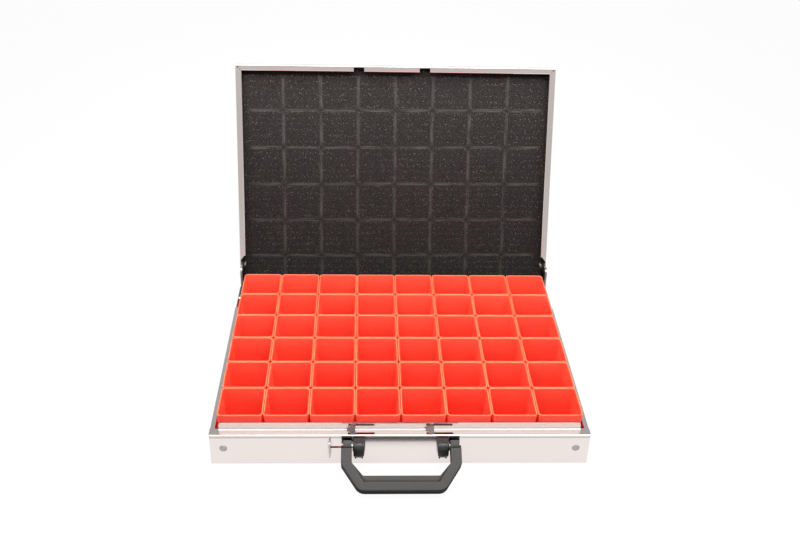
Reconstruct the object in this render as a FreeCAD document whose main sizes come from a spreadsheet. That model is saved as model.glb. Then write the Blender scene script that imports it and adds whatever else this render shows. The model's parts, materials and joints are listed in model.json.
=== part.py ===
import FreeCAD, Part
import math
import os
from types import SimpleNamespace

import Sketcher

# An aluminium assortment case with a folded base, a hinged lid with a foam pad, a sprung slide latch,
# a folding handle and a grid of loose bins. It stands open. The origin is the middle of the base's
# underside, +X runs to the right, +Y to the hinges and +Z up.

doc = FreeCAD.newDocument("assortment_case")
Vector = FreeCAD.Vector

# Driving sizes: millimetres, degrees for angles, plain numbers for counts and shares
SIZES = [
    # Loose bins
    ("bin_columns", 8),
    ("bin_rows", 6),
    ("bin_pitch", 52.5),
    ("column_slack", 0.2),
    ("bin_gap", 0.4),
    ("bin_height", 61),
    ("bin_wall", 1.5),
    ("bin_floor", 1.6),
    ("bin_foot_inset", 3),
    ("bin_corner", 2.4),
    ("bin_corner_inset", 0.9),
    # Folded base
    ("side_room", 8.4),
    ("front_room", 12),
    ("back_room", 2.6),
    ("sheet", 1),
    ("lip_overhang", 0.6),
    ("lip_height", 2.4),
    ("lip_round", 1.2),
    ("lip_under_round", 0.4),
    ("hem_round", 0.8),
    ("rim_height", 42.8),
    ("fold_radius", 1.6),
    ("upstand_height", 9.4),
    ("upstand_gap", 0.7),
    ("upstand_end_room", 10.4),
    ("upstand_corner", 4.5),
    ("ledge_width", 6),
    ("hem_drop", 3),
    ("notch_gap", 0.5),
    ("relief_drop", 3),
    ("tab_length", 25),
    ("overrun", 2),
    # Corner rivets
    ("corner_rivet_room", 15.6),
    ("corner_rivet_height", 23.5),
    ("corner_head_radius", 4.5),
    ("corner_head_height", 1.2),
    ("head_crown_share", 0.7),
    # Hinge
    ("hinge_back", 8.5),
    ("hinge_height", 30.5),
    ("open_angle", 106.5),
    ("bracket_sheet", 1.5),
    ("bracket_reach", 17),
    ("bracket_drop", 20),
    ("bracket_rise", 6),
    ("bracket_corner", 4),
    ("bracket_rivet_reach", 11.5),
    ("bracket_rivet_drop", 14),
    ("bracket_rivet_head", 3),
    ("bracket_rivet_crown", 1),
    ("hinge_pin_radius", 2.5),
    ("hinge_pin_head", 4.2),
    ("hinge_pin_crown", 1.2),
    ("hinge_pin_play", 0.1),
    ("running_gap", 0.05),
    ("press_gap", 0.02),
    ("washer_thick", 0.4),
    ("washer_radius", 4.3),
    ("washer_bore_gap", 0.1),
    ("arm_width", 9),
    ("arm_thick", 2.5),
    ("arm_leg", 42),
    ("arm_elbow_round", 8),
    ("arm_inner_round", 4),
    ("arm_head_gap", 1),
    ("spacer_rise", 3),
    ("arm_rivet_head", 2.8),
    ("arm_rivet_crown", 1),
    ("arm_rivet_share", 0.25),
    # Lid
    ("lid_gap", 0.5),
    ("lid_sheet", 1),
    ("lid_fold", 2),
    ("lid_edge_round", 0.9),
    ("flange_front", 8.3),
    ("flange_side", 8.4),
    ("flange_slant", 7),
    ("flange_end_gap", 3),
    ("flange_strip", 2.2),
    ("flange_hem", 2.6),
    ("flange_roll", 1.6),
    ("notch_width", 14.4),
    ("notch_edge", 2.3),
    ("notch_lead", 0.4),
    ("relief_hole", 1),
    ("relief_edge", 3.2),
    ("mitre_half", 0.2),
    ("foam_gap", 0.8),
    ("foam_thick", 8),
    ("foam_seat", 0.2),
    ("foam_edge_gap", 0.6),
    ("imprint_width", 2.2),
    ("imprint_depth", 0.6),
    # Slide latch
    ("hook_left", -58),
    ("hook_spacing", 90.2),
    ("hook_neck", 5.7),
    ("hook_barb", 4.4),
    ("hook_thick", 2.4),
    ("hook_wall_gap", 0.8),
    ("hook_apex_share", 0.45),
    ("hook_apex_height", 11.1),
    ("hook_shoulder_height", 8.6),
    ("hook_under_gap", 1.8),
    ("hook_rake", 0.9),
    ("hook_tip", 2.3),
    ("hook_slot_length", 30.6),
    ("hook_slot_lead", 2.8),
    ("hook_slot_room", 0.6),
    ("bar_thick", 2),
    ("bar_height", 8),
    ("bar_drop", 1.9),
    ("bar_end_room", 8),
    ("bar_right", 100),
    ("bar_corner", 1.5),
    ("lug_width", 20),
    ("lug_drop", 12),
    ("tab_handle_room", 14),
    ("tab_thick", 1.5),
    ("tab_level", 25.3),
    ("tab_height", 22),
    ("tab_depth", 7.2),
    ("tab_wall_gap", 0.8),
    ("tab_corner", 3),
    ("tenon_height", 2),
    ("slot_gap", 0.3),
    ("release_slot_length", 17),
    ("guide_thick", 1.2),
    ("guide_width", 14),
    ("guide_gap", 0.1),
    ("guide_foot", 7),
    ("guide_back_gap", 0.3),
    ("guide_lug_room", 6.5),
    ("guide_right", 78),
    ("spring_length", 25),
    ("spring_thick", 0.8),
    ("spring_bow", 2.4),
    ("spring_gap", 0.1),
    ("spring_edge_gap", 0.5),
    ("anchor_foot", 12),
    # Handle
    ("handle_axis_out", 8.7),
    ("handle_axis_height", 34),
    ("handle_half_width", 68.3),
    ("handle_arm_width", 12.1),
    ("handle_reach", 54),
    ("handle_arm_length", 22.8),
    ("handle_grip_half", 48.1),
    ("handle_grip_depth", 17.6),
    ("handle_inner_arm", 20.5),
    ("handle_inner_half", 43.5),
    ("handle_above", 7),
    ("handle_below", 8),
    ("handle_bevel", 1.4),
    ("handle_outer_round", 12),
    ("handle_elbow_round", 6),
    ("handle_inner_round", 3),
    ("handle_floor_gap", 0.4),
    ("grip_band_depth", 7.5),
    ("grip_band_half", 42),
    ("grip_band_drop", 2.2),
    ("knuckle_radius", 8),
    ("knuckle_end", 2),
    ("handle_pin_radius", 2.5),
    ("handle_pin_end_gap", 0.4),
    ("block_width", 13.5),
    ("block_depth", 16.3),
    ("block_top_gap", 0.4),
    ("block_bottom", 16.5),
    ("block_chin_depth", 11),
    ("block_chin_rise", 2),
    ("block_front_rise", 8),
    ("block_top_round", 6.5),
    ("block_chin_round", 3),
    ("block_pin_depth", 11),
    ("collar_radius", 5.6),
    ("collar_gap", 1),
    ("collar_length", 0.8),
    ("screw_head", 3),
    ("screw_crown", 1.2),
    ("screw_low", 20.5),
    ("screw_rise", 7),
    ("backing_thick", 1.2),
    ("backing_margin", 4),
]

sheet_object = doc.addObject("Spreadsheet::Sheet", "Sizes")
for line, (name, value) in enumerate(SIZES, 1):
    sheet_object.set("A%d" % line, name)
    sheet_object.set("B%d" % line, str(value))
    sheet_object.setAlias("B%d" % line, name)
doc.recompute()


class Size:
    """A number together with the sheet expression that gives it."""

    def __init__(self, number, text):
        self.number = number
        self.text = text

    def __add__(self, other):
        return Size(self.number + number_of(other), "(%s + %s)" % (self.text, text_of(other)))

    def __radd__(self, other):
        return Size(number_of(other) + self.number, "(%s + %s)" % (text_of(other), self.text))

    def __sub__(self, other):
        return Size(self.number - number_of(other), "(%s - %s)" % (self.text, text_of(other)))

    def __rsub__(self, other):
        return Size(number_of(other) - self.number, "(%s - %s)" % (text_of(other), self.text))

    def __mul__(self, other):
        return Size(self.number * number_of(other), "(%s * %s)" % (self.text, text_of(other)))

    def __rmul__(self, other):
        return Size(number_of(other) * self.number, "(%s * %s)" % (text_of(other), self.text))

    def __truediv__(self, other):
        return Size(self.number / number_of(other), "(%s / %s)" % (self.text, text_of(other)))

    def __neg__(self):
        return Size(-self.number, "(-1 * %s)" % self.text)


def number_of(value):
    return value.number if isinstance(value, Size) else value


def text_of(value):
    return value.text if isinstance(value, Size) else repr(value)


def sine(angle):
    return Size(math.sin(math.radians(angle.number)), "sin(%s)" % angle.text)


def cosine(angle):
    return Size(math.cos(math.radians(angle.number)), "cos(%s)" % angle.text)


def root(area):
    return Size(math.sqrt(area.number), "sqrt(%s)" % area.text)


def arc_sine(share):
    return Size(math.degrees(math.asin(share.number)), "asin(%s)" % share.text)


def arc_tangent(share):
    return Size(math.degrees(math.atan(share.number)), "atan(%s)" % share.text)


size = SimpleNamespace()
for name, value in SIZES:
    setattr(size, name, Size(sheet_object.get(name), "Sizes." + name))

# Sizes that follow from the driving ones
column_pitch = size.bin_pitch + size.column_slack
half_width = size.bin_columns * column_pitch / 2 + size.side_room
half_depth = (size.bin_rows * size.bin_pitch + size.front_room + size.back_room) / 2
wall_x = half_width - size.lip_overhang
wall_y = half_depth - size.lip_overhang
inner_x = wall_x - size.sheet
inner_y = wall_y - size.sheet
bins_front = size.front_room - half_depth
bin_side = size.bin_pitch - size.bin_gap
bins_top = size.sheet + size.bin_height
upstand_front = bins_front - size.upstand_gap
upstand_back = upstand_front + size.sheet
ledge_inner = half_width - size.ledge_width
ledge_under = size.rim_height - size.sheet
lip_low = size.rim_height - size.lip_height
hinge_y = half_depth - size.hinge_back
hinge_z = size.hinge_height
notch_front = hinge_y - size.arm_leg - size.arm_width - size.notch_gap
relief_top = size.rim_height - size.relief_drop
arm_outer = inner_x - size.bracket_sheet - size.washer_thick
arm_inner = arm_outer - size.arm_thick
lid_inner_x = half_width - size.lid_sheet
handle_axis_y = 0 - wall_y - size.handle_axis_out
handle_axis_z = size.handle_axis_height
handle_inner_half = size.handle_half_width - size.handle_arm_width
block_outer = handle_inner_half - size.collar_gap - size.collar_length
block_inner = block_outer - size.block_width
bar_top = ledge_under - size.bar_drop + size.guide_gap
bar_low = bar_top - size.bar_height
hook_front = size.hook_wall_gap - inner_y
hook_back = hook_front + size.hook_thick
bar_back = hook_back + size.bar_thick
tab_place = -size.handle_half_width - size.tab_handle_room
lug_left = tab_place + size.tab_thick / 2 - size.lug_width / 2
guide_left = lug_left - size.guide_lug_room - size.guide_width
bar_left = guide_left - size.bar_end_room

nodes = {}


def bind(item, name, value):
    """Tie a property to its size. A plain zero stays as the property's own default."""
    if isinstance(value, Size):
        item.setExpression(name, value.text)


def keep(label, item):
    """List a finished piece under the name of its file."""
    item.Label = label
    nodes[label] = item
    return item


def place(item, x, y, z):
    for axis, value in (("x", x), ("y", y), ("z", z)):
        bind(item, "Placement.Base." + axis, value)


def span(side, inner, outer):
    """The two ends along X of something between two distances from the middle plane."""
    return (inner, outer) if side > 0 else (-outer, -inner)


ORIGIN_PLANES = {"XY": "XY_Plane", "XZ": "XZ_Plane", "YZ": "YZ_Plane"}


def outline(body, plane, points, level):
    """A closed sketch with straight sides, each corner tied to its two sizes."""
    sketch = body.newObject("Sketcher::SketchObject", body.Name + "_outline")
    support = [item for item in body.Origin.OriginFeatures if item.Role == ORIGIN_PLANES[plane]]
    sketch.AttachmentSupport = (support[0], [""])
    sketch.MapMode = "FlatFace"
    bind(sketch, "AttachmentOffset.Base.z", level)
    spots = [Vector(number_of(across), number_of(up), 0) for across, up in points]
    count = len(spots)
    for index in range(count):
        sketch.addGeometry(Part.LineSegment(spots[index], spots[(index + 1) % count]), False)
    for index in range(count):
        sketch.addConstraint(Sketcher.Constraint("Coincident", index, 2, (index + 1) % count, 1))
    for index, corner in enumerate(points):
        for kind, value in zip(("DistanceX", "DistanceY"), corner):
            tie = Sketcher.Constraint(kind, -1, 1, index, 1, float(number_of(value)))
            bind(sketch, "Constraints[%d]" % sketch.addConstraint(tie), value)
    return sketch


def flat(plane, point):
    return {"XY": (point.x, point.y), "XZ": (point.x, point.z), "YZ": (point.y, point.z)}[plane]


def same_spot(first, second, near=1e-6):
    return all(abs(number_of(a) - number_of(b)) < near for a, b in zip(first, second))


def edges_at(shape, plane, corners):
    """The edges that stand square to a plane at the given corners of an outline."""
    found = []
    for index, edge in enumerate(shape.Edges, 1):
        ends = [flat(plane, vertex.Point) for vertex in edge.Vertexes]
        if same_spot(ends[0], ends[-1]) and any(same_spot(ends[0], corner) for corner in corners):
            found.append("Edge%d" % index)
    return found


def dress(body, kind, prop, edges, value):
    """Round or bevel some edges of a body's latest feature."""
    base = body.Tip
    feature = body.newObject("PartDesign::" + kind, "%s_%s" % (body.Name, kind.lower()))
    feature.Base = (base, edges)
    bind(feature, prop, value)
    body.Tip = feature
    doc.recompute()
    return feature


def plate(name, plane, points, low, high, rounds=()):
    """A piece with one outline, drawn out square to its plane from low to high."""
    body = doc.addObject("PartDesign::Body", name)
    # The XZ plane faces -Y, so a piece on it starts at its high end
    level = -high if plane == "XZ" else low
    sketch = outline(body, plane, points, level)
    pad = body.newObject("PartDesign::Pad", body.Name + "_pad")
    pad.Profile = sketch
    bind(pad, "Length", high - low)
    doc.recompute()
    for indices, radius in rounds:
        corners = [points[index] for index in indices]
        dress(body, "Fillet", "Radius", edges_at(body.Tip.Shape, plane, corners), radius)
    return body


def wedge(body, kind, low_half, high_half, low, high):
    """A square block or hollow whose half width changes evenly between two levels."""
    feature = body.newObject("PartDesign::" + kind, "%s_%s" % (body.Name, kind.lower()))
    support = [item for item in body.Origin.OriginFeatures if item.Role == ORIGIN_PLANES["XZ"]]
    feature.AttachmentSupport = (support[0], [""])
    feature.MapMode = "FlatFace"
    feature.Ymin = number_of(low)
    bind(feature, "Ymin", low)
    bind(feature, "Ymax", high)
    for axis in ("X", "Z"):
        bind(feature, axis + "min", -low_half)
        bind(feature, axis + "max", low_half)
        bind(feature, axis + "2min", -high_half)
        bind(feature, axis + "2max", high_half)
    body.Tip = feature
    doc.recompute()
    return feature


def box(name, low, high):
    item = doc.addObject("Part::Box", name)
    for prop, start, end in zip(("Length", "Width", "Height"), low, high):
        bind(item, prop, end - start)
    place(item, *low)
    return item


TURNS = {
    "X": FreeCAD.Rotation(Vector(0, 1, 0), 90),
    "-X": FreeCAD.Rotation(Vector(0, 1, 0), -90),
    "Y": FreeCAD.Rotation(Vector(1, 0, 0), -90),
    "-Y": FreeCAD.Rotation(Vector(1, 0, 0), 90),
    "Z": FreeCAD.Rotation(),
}


def rod(name, way, start, radius, length):
    """A round bar from its start point along one axis."""
    item = doc.addObject("Part::Cylinder", name)
    item.Placement = FreeCAD.Placement(Vector(), TURNS[way])
    bind(item, "Radius", radius)
    bind(item, "Height", length)
    place(item, *start)
    return item


def join(name, pieces):
    item = doc.addObject("Part::MultiFuse", name)
    item.Shapes = pieces
    return item


def carve(name, base, tools):
    item = doc.addObject("Part::Cut", name)
    item.Base = base
    item.Tool = tools[0] if len(tools) == 1 else join(name + "_tools", tools)
    doc.recompute()
    return item


def stud(name, profile):
    """A turned piece: its half section, as radius and height, turned about Z."""
    body = doc.addObject("PartDesign::Body", name)
    turn = body.newObject("PartDesign::Revolution", name + "_turn")
    turn.Profile = outline(body, "XZ", profile, 0)
    turn.ReferenceAxis = (turn.Profile[0], ["V_Axis"])
    turn.Angle = 360
    doc.recompute()
    return body


def rivet_head(name, head, crown):
    """A rivet's or screw's low head, with its seat at zero and its crown upwards."""
    return stud(name, [(0, 0), (head, 0), (head * size.head_crown_share, crown), (0, crown)])


def group(label, master, spots):
    """Several copies of one piece, each a separate solid, at places along given ways."""
    item = doc.addObject("Part::Feature", label)
    copies = []
    for way, start in spots:
        copy = master.Shape.copy()
        copy.Placement = FreeCAD.Placement(Vector(*[number_of(value) for value in start]), TURNS[way])
        copies.append(copy)
    item.Shape = Part.makeCompound(copies)
    return keep(label, item)


def hang(item):
    """Turn a piece drawn about the hinge line, lid shut, to the open lid."""
    item.Placement = FreeCAD.Placement(Vector(), FreeCAD.Rotation(Vector(1, 0, 0), -size.open_angle.number))
    bind(item, "Placement.Rotation.Angle", -size.open_angle)
    place(item, 0, hinge_y, hinge_z)
    return item


SIDES = (("left", -1), ("right", 1))
corner_rivet_x = half_width - size.corner_rivet_room
block_middle = (block_inner + block_outer) / 2
screw_levels = [size.screw_low, size.screw_low + size.screw_rise]
bracket_rivet_y = hinge_y - size.bracket_rivet_reach
bracket_rivet_levels = [hinge_z - size.bracket_rivet_drop, hinge_z]
hook_places = [size.hook_left, size.hook_left + size.hook_spacing]


def make_base_pan():
    """Floor, back wall, front wall, rolled lip, ledge and upstand folded from one sheet."""
    upstand_top = size.rim_height + size.upstand_height
    profile = [
        (wall_y, 0),
        (wall_y, size.rim_height),
        (inner_y, size.rim_height),
        (inner_y, size.sheet),
        (-inner_y, size.sheet),
        (-inner_y, ledge_under),
        (upstand_back, ledge_under),
        (upstand_back, upstand_top),
        (upstand_front, upstand_top),
        (upstand_front, size.rim_height),
        (-half_depth, size.rim_height),
        (-half_depth, lip_low),
        (-wall_y, lip_low),
        (-wall_y, 0),
    ]
    rounds = [
        ([0, 13, 9], size.fold_radius),
        ([10], size.lip_round),
        ([11], size.lip_under_round),
    ]
    blank = plate("pan_blank", "YZ", profile, -half_width, half_width, rounds)
    past = size.overrun
    tools = []
    for side_name, side in SIDES:
        # Below the lip the walls stand back from the ends
        low, high = span(side, wall_x, half_width + past)
        tools.append(box("pan_end_" + side_name, (low, -half_depth, -past), (high, half_depth, lip_low)))
        # The rear corners are cut down for the hinge arms
        low, high = span(side, arm_inner - size.notch_gap, half_width + past)
        corner_high = (high, half_depth + past, size.rim_height + past)
        tools.append(box("pan_corner_" + side_name, (low, notch_front, relief_top), corner_high))
        # The upstand stops short of the ends with rounded corners
        end = half_width - size.upstand_end_room
        ear_start = end - size.upstand_corner - past
        ear = [
            (side * end, size.rim_height),
            (side * (half_width + past), size.rim_height),
            (side * (half_width + past), upstand_top + past),
            (side * ear_start, upstand_top + past),
            (side * ear_start, upstand_top),
            (side * end, upstand_top),
        ]
        deep = upstand_back + past
        rounds = [([5], size.upstand_corner)]
        tools.append(plate("upstand_ear_" + side_name, "XZ", ear, upstand_front - past, deep, rounds))
    for number, hook_x in enumerate(hook_places):
        low = (hook_x - size.hook_slot_lead, hook_front - size.hook_slot_room, ledge_under - past)
        right = hook_x - size.hook_slot_lead + size.hook_slot_length
        high = (right, hook_back + size.hook_slot_room, size.rim_height + past)
        tools.append(box("hook_slot_%d" % number, low, high))
    slot_half = size.tenon_height / 2 + size.slot_gap
    slot_left = tab_place - 2 * size.slot_gap
    low = (slot_left, -wall_y - past, size.tab_level - slot_half)
    high = (slot_left + size.release_slot_length, past - inner_y, size.tab_level + slot_half)
    tools.append(box("release_slot", low, high))
    return keep("base_pan", carve("base_pan", blank, tools))


def make_side_wall(side_name, side):
    """A side wall with end tabs behind the front and back walls, and a hemmed ledge."""
    tab_end = wall_x - size.tab_length
    plan = [
        (side * wall_x, -inner_y),
        (side * wall_x, inner_y),
        (side * tab_end, inner_y),
        (side * tab_end, inner_y - size.sheet),
        (side * inner_x, inner_y - size.sheet),
        (side * inner_x, size.sheet - inner_y),
        (side * tab_end, size.sheet - inner_y),
        (side * tab_end, -inner_y),
    ]
    wall = plate("wall_blank_" + side_name, "XY", plan, size.sheet, ledge_under)
    section = [
        (side * wall_x, lip_low),
        (side * half_width, lip_low),
        (side * half_width, size.rim_height),
        (side * ledge_inner, size.rim_height),
        (side * ledge_inner, size.rim_height - size.hem_drop),
        (side * (ledge_inner + size.sheet), size.rim_height - size.hem_drop),
        (side * (ledge_inner + size.sheet), ledge_under),
        (side * inner_x, ledge_under),
        (side * inner_x, lip_low),
    ]
    rounds = [([1], size.lip_under_round), ([2], size.lip_round), ([3], size.hem_round)]
    ledge = plate("ledge_blank_" + side_name, "XZ", section, upstand_back, inner_y, rounds)
    past = size.overrun
    low, high = span(side, ledge_inner - past, half_width + past)
    notch_high = (high, half_depth, size.rim_height + past)
    tools = [box("hinge_notch_" + side_name, (low, notch_front, relief_top), notch_high)]
    label = "side_wall_" + side_name
    return keep(label, carve(label, join("wall_" + side_name, [wall, ledge]), tools))


def make_corner_rivets():
    master = rivet_head("corner_rivet", size.corner_head_radius, size.corner_head_height)
    spots = []
    for side in (-1, 1):
        spots.append(("-Y", (side * corner_rivet_x, -wall_y, size.corner_rivet_height)))
        spots.append(("Y", (side * corner_rivet_x, wall_y, size.corner_rivet_height)))
    return group("corner_rivets", master, spots)


def make_hinge_bracket(side_name, side):
    """The plate on the side wall that carries the hinge pin."""
    points = [
        (hinge_y - size.bracket_reach, hinge_z - size.bracket_drop),
        (hinge_y, hinge_z - size.bracket_drop),
        (hinge_y + size.arm_width / 2, hinge_z - size.arm_width),
        (hinge_y + size.arm_width / 2, hinge_z + size.bracket_rise),
        (hinge_y - size.bracket_reach, hinge_z + size.bracket_rise),
    ]
    low, high = span(side, inner_x - size.bracket_sheet, inner_x)
    rounds = [([0, 3, 4], size.bracket_corner)]
    blank = plate("bracket_blank_" + side_name, "YZ", points, low, high, rounds)
    past = size.overrun
    length = size.bracket_sheet + 2 * past
    pin_bore = size.hinge_pin_radius + size.press_gap
    tools = [rod("bracket_bore_" + side_name, "X", (low - past, hinge_y, hinge_z), pin_bore, length)]
    label = "hinge_bracket_" + side_name
    return keep(label, carve(label, blank, tools))


def make_hinge_fittings():
    """Rivets of the hinge brackets, the hinge pins and their washers."""
    master = rivet_head("bracket_rivet", size.bracket_rivet_head, size.bracket_rivet_crown)
    spots = []
    for way, side in (("-X", -1), ("X", 1)):
        for level in bracket_rivet_levels:
            spots.append((way, (side * wall_x, bracket_rivet_y, level)))
    group("hinge_bracket_rivets", master, spots)
    grip = size.bracket_sheet + size.washer_thick + size.arm_thick + size.hinge_pin_play
    profile = [
        (0, -grip),
        (size.hinge_pin_radius, -grip),
        (size.hinge_pin_radius, 0),
        (size.hinge_pin_head, 0),
        (size.hinge_pin_head * size.head_crown_share, size.hinge_pin_crown),
        (0, size.hinge_pin_crown),
    ]
    master = stud("hinge_pin", profile)
    head_x = inner_x - grip
    group("hinge_pins", master, [("X", (-head_x, hinge_y, hinge_z)), ("-X", (head_x, hinge_y, hinge_z))])
    bore = size.hinge_pin_radius + size.washer_bore_gap
    ring = [
        (bore, 0),
        (size.washer_radius, 0),
        (size.washer_radius, size.washer_thick),
        (bore, size.washer_thick),
    ]
    spots = [("-X", (-arm_outer, hinge_y, hinge_z)), ("X", (arm_outer, hinge_y, hinge_z))]
    group("hinge_washers", stud("hinge_washer", ring), spots)


def make_hinge_arm(side_name, side):
    """A bent flat arm from the hinge pin down, forward and up into the lid."""
    lean = size.open_angle - 90
    half = size.arm_width / 2
    elbow_y = 0 - size.arm_leg * cosine(lean)
    low_run = (half * sine(lean) - elbow_y + half) / cosine(lean)
    high_run = (0 - half * sine(lean) - elbow_y - half) / cosine(lean)
    arm_top = bins_top - size.arm_head_gap - hinge_z
    points = [
        (half * sine(lean), 0 - half * cosine(lean)),
        (elbow_y - half, 0 - half * cosine(lean) - low_run * sine(lean)),
        (elbow_y - half, arm_top),
        (elbow_y + half, arm_top),
        (elbow_y + half, half * cosine(lean) - high_run * sine(lean)),
        (0 - half * sine(lean), half * cosine(lean)),
    ]
    low, high = span(side, arm_inner, arm_outer)
    rounds = [([1], size.arm_elbow_round), ([4], size.arm_inner_round), ([2, 3], half / 2)]
    strip = plate("arm_blank_" + side_name, "YZ", points, low, high, rounds)
    eye = rod("arm_eye_" + side_name, "X", (low, 0, 0), half, high - low)
    past = size.overrun
    bore = size.hinge_pin_radius + size.running_gap
    tools = [rod("arm_bore_" + side_name, "X", (low - past, 0, 0), bore, high - low + 2 * past)]
    spacer_low = size.rim_height + size.lid_gap + size.spacer_rise - hinge_z
    spacer_tall = arm_top - spacer_low
    rivet_levels = [
        spacer_low + spacer_tall * size.arm_rivet_share,
        arm_top - spacer_tall * size.arm_rivet_share,
    ]
    inside, outside = span(side, arm_outer, lid_inner_x)
    flat_bar = [
        (elbow_y - half, spacer_low),
        (elbow_y + half, spacer_low),
        (elbow_y + half, arm_top),
        (elbow_y - half, arm_top),
    ]
    spacer = plate("arm_spacer_" + side_name, "YZ", flat_bar, inside, outside)
    arm = carve("hinge_arm_" + side_name, join("arm_" + side_name, [strip, eye]), tools)
    keep("hinge_arm_" + side_name, hang(arm))
    keep("arm_spacer_" + side_name, hang(spacer))
    return elbow_y, rivet_levels


def make_arm_rivets(elbow_y, levels):
    master = rivet_head("arm_rivet", size.arm_rivet_head, size.arm_rivet_crown)
    spots = []
    for way, side in (("X", -1), ("-X", 1)):
        for level in levels:
            spots.append((way, (side * arm_inner, elbow_y, level)))
    return hang(group("arm_rivets", master, spots))


def make_lid():
    """The lid's folded shell, with return flanges on the front and the sides, and its foam pad."""
    front = -half_depth - hinge_y
    back = half_depth - hinge_y
    low = size.rim_height + size.lid_gap - hinge_z
    foam_low = bins_top + size.foam_gap - hinge_z
    foam_high = foam_low + size.foam_thick
    panel_under = foam_high + size.foam_seat
    top = panel_under + size.lid_sheet
    flange_top = low + size.lid_sheet
    past = size.overrun
    corners = [(-half_width, front), (half_width, front), (half_width, back), (-half_width, back)]
    blank = plate("lid_blank", "XY", corners, low, top)
    rim = [
        "Edge%d" % index
        for index, edge in enumerate(blank.Tip.Shape.Edges, 1)
        if all(abs(vertex.Z - top.number) < 1e-6 for vertex in edge.Vertexes)
    ]
    dress(blank, "Fillet", "Radius", rim, size.lid_fold)
    mouth_edges = [
        "Edge%d" % index
        for index, edge in enumerate(blank.Tip.Shape.Edges, 1)
        if all(abs(vertex.Z - low.number) < 1e-6 for vertex in edge.Vertexes)
        and any(abs(vertex.Y - back.number) > 1e-6 for vertex in edge.Vertexes)
    ]
    dress(blank, "Fillet", "Radius", mouth_edges, size.lid_edge_round)
    inside_front = front + size.lid_sheet
    inside_back = back - size.lid_sheet
    hollow = [
        (-lid_inner_x, inside_front),
        (lid_inner_x, inside_front),
        (lid_inner_x, inside_back),
        (-lid_inner_x, inside_back),
    ]
    flange_x = half_width - size.flange_side
    flange_y = front + size.flange_front
    flange_end = notch_front - size.flange_end_gap - hinge_y
    mouth_x = flange_x + size.flange_strip
    mouth_y = flange_y - size.flange_strip
    mouth = [
        (-mouth_x, mouth_y),
        (mouth_x, mouth_y),
        (mouth_x, flange_end),
        (lid_inner_x, flange_end + size.flange_slant),
        (lid_inner_x, inside_back),
        (-lid_inner_x, inside_back),
        (-lid_inner_x, flange_end + size.flange_slant),
        (-mouth_x, flange_end),
    ]
    tools = [
        plate("lid_hollow", "XY", hollow, flange_top, panel_under),
        plate("lid_mouth", "XY", mouth, low - past, flange_top + past),
    ]
    tray = carve("lid_tray", blank, tools)
    # The flanges end in a rolled hem that turns back into the lid
    hem_top = flange_top + size.flange_hem
    section = [
        (mouth_y - size.lid_sheet, low),
        (flange_y, low),
        (flange_y, hem_top),
        (flange_y - size.lid_sheet, hem_top),
        (flange_y - size.lid_sheet, flange_top),
        (mouth_y - size.lid_sheet, flange_top),
    ]
    rounds = [([1], size.flange_roll)]
    pieces = [tray, plate("hem_front", "YZ", section, -mouth_x, mouth_x, rounds)]
    for side_name, side in SIDES:
        section = [
            (side * (mouth_x + size.lid_sheet), low),
            (side * flange_x, low),
            (side * flange_x, hem_top),
            (side * (flange_x + size.lid_sheet), hem_top),
            (side * (flange_x + size.lid_sheet), flange_top),
            (side * (mouth_x + size.lid_sheet), flange_top),
        ]
        pieces.append(plate("hem_" + side_name, "XZ", section, mouth_y, flange_end, rounds))
    tools = []
    for number, hook_x in enumerate(hook_places):
        start = (hook_x - size.notch_lead, front + size.notch_edge, low - past)
        end = (hook_x - size.notch_lead + size.notch_width, flange_y + past, hem_top + past)
        tools.append(box("flange_notch_%d" % number, start, end))
    for side_name, side in SIDES:
        hole_x = side * (half_width - size.relief_edge)
        hole_y = front + size.relief_edge
        start = (hole_x, hole_y, low - past)
        long = size.lid_sheet + 2 * past
        tools.append(rod("mitre_hole_" + side_name, "Z", start, size.relief_hole, long))
        half = size.mitre_half
        seam = [
            (hole_x - half, hole_y),
            (hole_x + half, hole_y),
            (side * flange_x + half, flange_y),
            (side * flange_x - half, flange_y),
        ]
        tools.append(plate("mitre_" + side_name, "XY", seam, low - past, flange_top + past))
    keep("lid_shell", hang(carve("lid_shell", join("lid_hemmed", pieces), tools)))

    gap = size.foam_edge_gap
    pad_low = (gap - lid_inner_x, inside_front + gap, foam_low)
    pad_high = (lid_inner_x - gap, inside_back - gap, foam_high)
    pad = box("foam_blank", pad_low, pad_high)
    half_line = size.imprint_width / 2
    lines = []
    for column in range(1, int(size.bin_columns.number)):
        x = (column - size.bin_columns / 2) * column_pitch
        start = (x - half_line, pad_low[1] - past, foam_low - past)
        end = (x + half_line, pad_high[1] + past, foam_low + size.imprint_depth)
        lines.append(box("imprint_column_%d" % column, start, end))
    for row in range(1, int(size.bin_rows.number)):
        y = bins_front + row * size.bin_pitch - hinge_y
        start = (pad_low[0] - past, y - half_line, foam_low - past)
        end = (pad_high[0] + past, y + half_line, foam_low + size.imprint_depth)
        lines.append(box("imprint_row_%d" % row, start, end))
    keep("foam_pad", hang(carve("foam_pad", pad, lines)))


def make_latch_bar():
    """The sliding bar behind the front wall, with a lug that takes the release tab."""
    lug_low = bar_low - size.lug_drop
    points = [
        (bar_left, bar_low),
        (lug_left, bar_low),
        (lug_left, lug_low),
        (lug_left + size.lug_width, lug_low),
        (lug_left + size.lug_width, bar_low),
        (size.bar_right, bar_low),
        (size.bar_right, bar_top),
        (bar_left, bar_top),
    ]
    rounds = [([0, 2, 3, 5, 6, 7], size.bar_corner)]
    blank = plate("bar_blank", "XZ", points, hook_back, bar_back, rounds)
    past = size.overrun
    fit = size.press_gap
    half = size.tenon_height / 2
    low = (tab_place - fit, hook_back - past, size.tab_level - half - fit)
    high = (tab_place + size.tab_thick + fit, bar_back + past, size.tab_level + half + fit)
    tools = [box("tenon_hole", low, high)]
    return keep("latch_bar", carve("latch_bar", blank, tools))


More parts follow.
